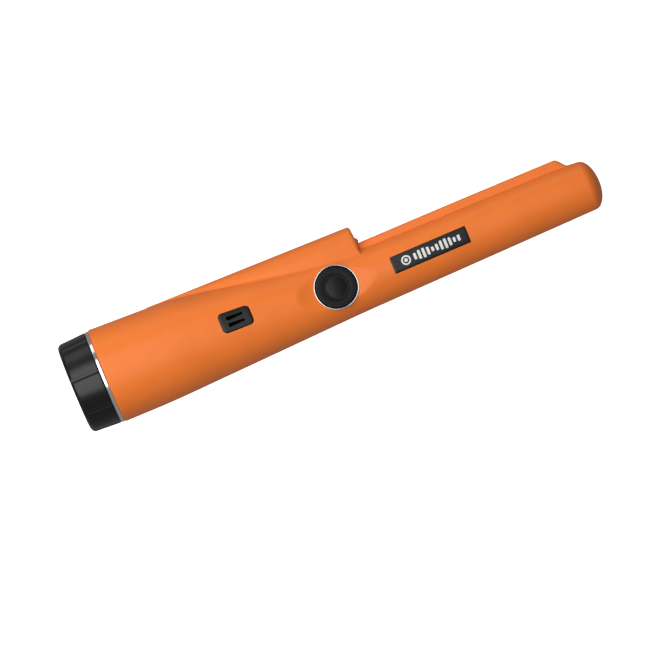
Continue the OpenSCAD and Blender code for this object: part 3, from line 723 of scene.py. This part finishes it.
def build_collar():
    lo, hi = mm_box("threaded_collar")
    neck_r, bore_r, groove_half = 16.9, 15.6, 0.8
    ring_lo, ring_hi = mm_box("o_ring")
    ring_x = (ring_lo[0] + ring_hi[0]) / 2
    collar_r = hi[2]

    def wave(x, r, turn):
        if abs(r[0] - neck_r) < 0.02 and x < ring_x - groove_half:
            return r + THREAD_H * thread(x, turn, 5.0, 1.2)
        return r

    outline = [(lo[0], bore_r + 0.3), (lo[0], neck_r - 0.35), (lo[0] + 0.35, neck_r)]
    outline += [(x, neck_r) for x in np.arange(lo[0] + 0.6, ring_x - groove_half - 0.05, 0.2)]
    outline += [
        (ring_x - groove_half, neck_r - 0.03), (ring_x - groove_half + 0.05, neck_r - 0.45),
        (ring_x + groove_half - 0.05, neck_r - 0.45), (ring_x + groove_half, neck_r - 0.03),
        (HOUSING_X, neck_r - 0.03), (HOUSING_X, collar_r - 0.1), (HOUSING_X + 0.1, collar_r),
        (hi[0] - 0.4, collar_r), (hi[0], collar_r - 0.4), (hi[0], bore_r), (lo[0] + 0.3, bore_r),
    ]
    collar = lathe("collar_thread", outline, (0, 0, 0), (1, 0, 0), steps=288, loop=True, wave=wave, sharp=40)
    return finish_piece(collar, "threaded_collar", MATERIALS["black_plastic"])


def build_trim_ring():
    lo, hi = mm_box("trim_ring")
    inner, outer = 16.95, hi[2]
    corners = [(lo[0], inner, 0.1), (lo[0], outer, 0.5), (hi[0], outer, 0.5), (hi[0], inner, 0.1)]
    outline = fillet(corners, closed=True, steps=8)
    ring_piece = lathe("trim_ring_band", outline, (0, 0, 0), (1, 0, 0), steps=240, loop=True)
    return finish_piece(ring_piece, "trim_ring", MATERIALS["bright_metal"])


def build_o_ring():
    lo, hi = mm_box("o_ring")
    section = (hi[0] - lo[0]) / 2
    middle_x, middle_r = (lo[0] + hi[0]) / 2, hi[2] - section
    profile = [
        (middle_x + section * math.cos(t), middle_r + section * math.sin(t))
        for t in np.linspace(0, 2 * math.pi, 24, endpoint=False)
    ]
    seal = lathe("o_ring_seal", profile, (0, 0, 0), (1, 0, 0), loop=True)
    return finish_piece(seal, "o_ring", MATERIALS["black_rubber"])


def foam_disc(name, node):
    """A foam disc with crowned faces, a soft edge and sides that pull in at the middle."""
    lo, hi = mm_box(node)
    thick, radius = hi[0] - lo[0], (hi[2] - lo[2]) / 2
    axis = ((lo + hi) / 2) * [0, 1, 1]
    crown, edge, waist = 0.08 * thick, 0.16 * thick, 0.05 * thick
    face = [(0, 0.0), (0, 0.3 * radius), (0.15 * crown, 0.6 * radius), (0.6 * crown, 0.88 * radius)]
    rim = [
        (crown + edge * (1 - math.cos(t)), radius - edge * (1 - math.sin(t)))
        for t in np.linspace(0.15, math.pi / 2, 7)
    ]
    side_l = thick - 2 * (crown + edge)
    side = [
        (crown + edge + side_l * t, radius - waist * math.sin(math.pi * t))
        for t in np.linspace(0, 1, 9)[1:-1]
    ]
    half = [(lo[0] + a, r) for a, r in face + rim]
    other = [(hi[0] - a, r) for a, r in (face + rim)[::-1]]
    middle = [(lo[0] + a, r) for a, r in side]

    def wave(x, r, turn):
        cells = np.sin(23 * turn + 5 * x) * np.sin(41 * turn - 9 * x) * 0.04
        return r + np.where(r > 0.5, cells - 0.04, 0)

    pad = lathe(name, half + middle + other, axis, (1, 0, 0), steps=240, wave=wave)
    finish_piece(pad, node, MATERIALS["foam"])
    return pad


# ---- Button ----

def build_button():
    low, high = along_press("button_cap")
    top = high - 0.4
    radius, rim = 8.55, 0.6
    stem, flange = 6.9, 8.0
    dome = [(top + 0.4 - 0.42 * (r / 4.4) ** 2, r) for r in np.linspace(0, 4.4, 12)]
    bead = [
        (top + 0.3 * math.sin(t), 5.15 - 0.34 * math.cos(t)) for t in np.linspace(0, math.pi, 11)
    ]
    flat = [(top - 0.07, 5.6), (top - 0.02, 5.75), (top, 6.1), (top, 7.2)]
    edge = [
        (top - rim * (1 - math.cos(t)), radius - rim * (1 - math.sin(t)))
        for t in np.linspace(0, math.pi / 2, 9)
    ]
    side = [
        (BUTTON_FLOOR - 0.7, radius), (BUTTON_FLOOR - 0.8, radius - 0.1), (BUTTON_FLOOR - 0.8, stem),
        (low + 0.7, stem), (low + 0.7, flange - 0.1), (low + 0.6, flange), (low + 0.1, flange),
        (low, flange - 0.1), (low, 0.0),
    ]
    button = lathe("button_dome", dome + bead + flat + edge + side, BUTTON_POINT, PRESS, steps=180, sharp=50)
    return finish_piece(button, "button_cap", MATERIALS["black_rubber"])


def build_bezel():
    low, high = along_press("button_bezel")
    inner, outer = BEZEL_R - 0.5, BEZEL_R
    half = (outer - inner) / 2
    profile = [(low, inner), (low, outer)]
    profile += [
        (high - half + half * math.sin(t), (inner + outer) / 2 + half * math.cos(t))
        for t in np.linspace(0, math.pi, 15)
    ]
    bezel = lathe("button_bezel_ring", profile, BUTTON_POINT, PRESS, steps=240, loop=True)
    return finish_piece(bezel, "button_bezel", MATERIALS["bright_metal"])


# ---- Sound outlet ----

VENT_LO, VENT_HI = mm_box("vent_insert")
VENT_X = (VENT_LO[0] + VENT_HI[0]) / 2
VENT_ROLL = math.radians(5.7)
VENT_L = VENT_HI[0] - VENT_LO[0]
VENT_W = 8.4
VENT_FLOOR = 14.1
VENT_OUTLINE = rounded_outline(VENT_L, VENT_W, 2.0, taper=0.06)
SLOT_L, SLOT_W, SLOT_CORNER_R, SLOT_OFFSET = 6.6, 1.0, 0.45, 1.45


def build_vent():
    insert = patch("sound_outlet", VENT_OUTLINE, VENT_X, VENT_ROLL, 0, 0.3, 0.5, floor=VENT_FLOOR)
    slot = rounded_outline(SLOT_L, SLOT_W, SLOT_CORNER_R, per_corner=6)
    cut(insert, *[slot_cutter("slot", slot + [0, side * SLOT_OFFSET]) for side in (-1, 1)])
    return finish_piece(insert, "vent_insert", MATERIALS["black_plastic"])


def slot_cutter(name, outline):
    """A straight cutter through the insert, a little wider above the skin."""
    c, s = math.cos(VENT_ROLL), math.sin(VENT_ROLL)
    middle = outline.mean(axis=0)
    skin_z = body_r(VENT_X) + 0.1
    rings = []
    for z, grow in ((VENT_FLOOR - 1, 0.0), (skin_z - 0.3, 0.0), (skin_z, 0.06), (skin_z + 0.5, 0.5)):
        size = np.abs(outline - middle).max(axis=0)
        points = middle + (outline - middle) * (1 + grow / size)
        y = centre_y(VENT_X) + points[:, 1] * c + z * s
        rings.append(np.stack([VENT_X + points[:, 0], y, z * c - points[:, 1] * s], axis=-1))
    return skin(name, rings)


def build_membrane():
    gauze = patch(
        "vent_gauze", rounded_outline(VENT_L - 0.6, VENT_W - 0.9, 1.6), VENT_X, VENT_ROLL, 0,
        VENT_FLOOR - 0.05 - body_r(VENT_X), 0.05, floor=VENT_FLOOR - 0.25)
    return finish_piece(gauze, "vent_membrane", MATERIALS["membrane"])


# ---- LED ----

def build_led():
    lo, hi = mm_box("led")
    y = (lo[1] + hi[1]) / 2
    dome_x = hi[0] - LED_R
    flange_r = LED_R + 0.4
    profile = [
        (lo[0], 0.0), (lo[0], flange_r - 0.1), (lo[0] + 0.1, flange_r), (lo[0] + 0.9, flange_r),
        (lo[0] + 1.0, flange_r - 0.1), (lo[0] + 1.0, LED_R),
    ]
    profile += [
        (dome_x + LED_R * math.sin(t), LED_R * math.cos(t)) for t in np.linspace(0, math.pi / 2, 14)
    ]
    lens = lathe("led_lens", profile, (0, y, 0), (1, 0, 0), steps=64)
    finish_piece(lens, "led", MATERIALS["clear_lens"])
    cup = lathe(
        "led_cup", [(lo[0] + 0.6, 0.0), (lo[0] + 0.6, 0.9), (dome_x - 0.4, 1.15), (dome_x - 0.4, 1.05),
                    (dome_x - 1.2, 0.5), (dome_x - 1.2, 0.0)],
        (0, y, 0), (1, 0, 0), steps=48)
    finish_piece(cup, "led", CUP, replaces=False)
    die = lathe(
        "led_die", fillet([(dome_x - 1.15, 0.0, 0), (dome_x - 1.15, 0.42, 0.05), (dome_x - 0.8, 0.42, 0.15),
                           (dome_x - 0.75, 0.0, 0)]),
        (0, y, 0), (1, 0, 0), steps=32)
    finish_piece(die, "led", DIE, replaces=False)


# ---- Label ----

LABEL_LO, LABEL_HI = mm_box("label")
LABEL_X = (LABEL_LO[0] + LABEL_HI[0]) / 2
LABEL_L = LABEL_HI[0] - LABEL_LO[0]
LABEL_W = LABEL_HI[1] - LABEL_LO[1]
INK_LOW, INK_TOP = 0.13, 0.165


def mark(name, outline, x):
    """A printed patch at a place on the label."""
    return patch(name, outline, LABEL_X + x, 0, INK_LOW, INK_TOP, 0.01)


def ring_mark(name, outer, inner, x):
    """A printed ring round a place on the label."""
    loops = []
    for radius, lift in ((outer, INK_LOW), (outer, INK_TOP), (inner, INK_TOP), (inner, INK_LOW)):
        points = circle(radius)
        loops.append(on_skin(LABEL_X + x + points[:, 0], points[:, 1], lift, 0))
    return skin(name, loops, loop=True)


def circle(radius, count=40):
    turn = np.linspace(0, 2 * math.pi, count, endpoint=False)
    return radius * np.stack([np.cos(turn), np.sin(turn)], axis=-1)


def build_label():
    film = patch("label_plate", rounded_outline(LABEL_L, LABEL_W, 0.5), LABEL_X, 0, 0.01, 0.15, 0.06)
    finish_piece(film, "label", MATERIALS["label_film"])
    target_x, first_bar_x, bar_step = -10.6, -6.6, 1.92
    marks = [ring_mark("target", 2.0, 1.35, target_x), mark("target_dot", circle(0.75), target_x)]
    for k in range(11):
        height = 1.5 + 2.6 * abs(math.sin(0.62 * k + 0.5))
        bar = rounded_outline(1.15, height, 0.4, per_corner=3)
        marks.append(mark(f"bar_{k}", bar, first_bar_x + bar_step * k))
    print_piece = join("label_print", marks)
    finish_piece(print_piece, "label", INK, replaces=False)


# ---- CAD nodes that keep their shape ----

def dress_nodes():
    """Every CAD node gets the procedural material of its slot."""
    for node, obj in frame["nodes"].items():
        obj.data.materials.clear()
        obj.data.materials.append(MATERIALS[SLOTS[node]])


# ---- Camera, light and floor ----

CAMERA_DISTANCE = 3.0
CAMERA_LENS = 408
CAMERA_LEAN = math.radians(3)
CAMERA_ROLL = math.radians(22.6)
TARGET = Vector(to_part([104.3, -15.0, 0]))


def build_camera():
    camera = bpy.data.objects.new("camera", bpy.data.cameras.new("camera"))
    bpy.context.scene.collection.objects.link(camera)
    back = Vector((0, -math.sin(CAMERA_LEAN), math.cos(CAMERA_LEAN)))
    up_part = Vector((0, math.cos(CAMERA_LEAN), math.sin(CAMERA_LEAN)))
    along = Vector((1, 0, 0))
    right = math.cos(CAMERA_ROLL) * along - math.sin(CAMERA_ROLL) * up_part
    up = math.sin(CAMERA_ROLL) * along + math.cos(CAMERA_ROLL) * up_part
    turn = Matrix((right, up, back)).transposed().to_4x4()
    camera.matrix_world = Matrix.Translation(TARGET + back * CAMERA_DISTANCE) @ turn
    camera.data.sensor_width = 36
    camera.data.lens = CAMERA_LENS
    camera.data.clip_end = 20
    bpy.context.scene.camera = camera


def softbox(name, place, aim, size, power):
    light = bpy.data.lights.new(name, "AREA")
    light.shape = "RECTANGLE"
    light.size, light.size_y = size
    light.energy = power
    obj = bpy.data.objects.new(name, light)
    bpy.context.scene.collection.objects.link(obj)
    obj.location = place
    obj.rotation_euler = (Vector(aim) - Vector(place)).to_track_quat("-Z", "Y").to_euler()


def build_studio():
    softbox("overhead", (-0.80, 0.20, 1.0), (-0.80, 0.20, 0), (1.75, 1.35), 19)
    softbox("side", (-0.1, 1.1, 0.3), (0, 0, 0), (1.4, 0.5), 2.4)
    world = bpy.data.worlds.new("studio")
    bpy.context.scene.world = world
    world.use_nodes = True
    background = world.node_tree.nodes["Background"]
    background.inputs["Color"].default_value = (1, 1, 1, 1)
    background.inputs["Strength"].default_value = 0.26


def build_floor():
    mesh = bpy.data.meshes.new("floor")
    half = 3.0
    z = CAD_BOX[0].z
    corners = [(-half, -half, z), (half, -half, z), (half, half, z), (-half, half, z)]
    mesh.from_pydata(corners, [], [(0, 1, 2, 3)])
    floor = bpy.data.objects.new("floor", mesh)
    bpy.context.scene.collection.objects.link(floor)
    material = bpy.data.materials.new("pale_floor")
    material.use_nodes = True
    shader = material.node_tree.nodes["Principled BSDF"]
    shader.inputs["Base Color"].default_value = (0.85, 0.85, 0.85, 1)
    shader.inputs["Roughness"].default_value = 0.8
    shader.inputs["Emission Color"].default_value = (1, 1, 1, 1)
    shader.inputs["Emission Strength"].default_value = 1.0
    mesh.materials.append(material)
    floor.visible_diffuse = False
    floor.visible_glossy = False


bpy.context.scene.view_settings.view_transform = "Standard"
build_camera()
build_studio()
build_floor()
dress_nodes()
build_housing()
build_trim_ring()
build_cap()
build_collar()
build_o_ring()
foam_disc("cap_foam", "cap_pad")
foam_disc("tip_foam", "tip_cushion")
build_button()
build_bezel()
build_vent()
build_membrane()
build_led()
build_label()
